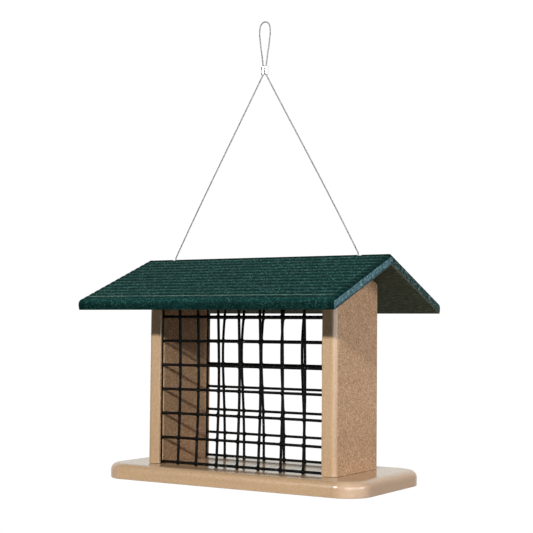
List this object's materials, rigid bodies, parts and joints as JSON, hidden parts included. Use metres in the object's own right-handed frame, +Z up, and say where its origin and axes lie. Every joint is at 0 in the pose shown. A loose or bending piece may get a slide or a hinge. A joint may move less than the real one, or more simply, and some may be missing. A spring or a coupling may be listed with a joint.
{
  "type": "suet feeder",
  "caption": "Hanging suet feeder: a gabled housing with welded-mesh faces under a ridged roof that lifts along its steel hanging cable.",
  "frame": {"origin": "inside top of the hanging loop, where the feeder bears on its hook", "axes": "+Z up, X along the roof's ridge with the side panels to the left and right, -Y out of the front mesh"},
  "size_m": [0.307, 0.2386, 0.4861],
  "materials": {
    "tan_board": "recycled wood-plastic board, tan, fine speckle",
    "green_board": "recycled wood-plastic board, dark green, ridged along its length",
    "coated_wire": "black vinyl coat over welded steel wire, satin",
    "cable_steel": "stranded stainless wire rope",
    "ferrule_aluminium": "pressed aluminium, light",
    "screw_steel": "plain stainless screw steel"
  },
  "bodies": {
    "hanger_top": {"hanging_loop": "cable_steel", "crimp_ferrule": "ferrule_aluminium"},
    "cable_legs": {"cable_leg_left": "cable_steel", "cable_leg_right": "cable_steel"},
    "roof": {"roof_board_front": "green_board", "roof_board_rear": "green_board", "ridge_cleat": "green_board", "cleat_screw_front_1": "screw_steel", "cleat_screw_front_2": "screw_steel", "cleat_screw_front_3": "screw_steel", "cleat_screw_rear_1": "screw_steel", "cleat_screw_rear_2": "screw_steel", "cleat_screw_rear_3": "screw_steel"},
    "housing": {"base_board": "tan_board", "side_panel_left": "tan_board", "side_panel_right": "tan_board", "wire_mesh_front": "coated_wire", "wire_mesh_rear": "coated_wire", "base_screw_left_front": "screw_steel", "base_screw_left_rear": "screw_steel", "base_screw_right_front": "screw_steel", "base_screw_right_rear": "screw_steel", "cable_tail_left": "cable_steel", "cable_tail_right": "cable_steel", "tail_sleeve_left": "ferrule_aluminium", "tail_sleeve_right": "ferrule_aluminium", "tail_eye_left": "cable_steel", "tail_eye_right": "cable_steel", "anchor_washer_left": "screw_steel", "anchor_washer_right": "screw_steel", "anchor_screw_left": "screw_steel", "anchor_screw_right": "screw_steel"}
  },
  "joints": [
    {"name": "cable_run", "type": "slide", "parent": "hanger_top", "child": "cable_legs", "axis": [0, 0, 1], "range_m": [0, 0.1206], "deforming": ["cable_leg_left", "cable_leg_right"]},
    {"name": "sway", "type": "hinge", "parent": "cable_legs", "child": "roof", "pos_m": [0, 0, -0.2486], "axis": [1, 0, 0], "range_deg": [-105, 105]},
    {"name": "roof_lift", "type": "slide", "parent": "roof", "child": "housing", "axis": [0, 0, -1], "range_m": [0, 0.09], "deforming": ["cable_tail_left", "cable_tail_right"]}
  ],
  "couplings": [
    {"joint": "cable_run", "follows": "roof_lift", "ratio": 1.3398}
  ]
}
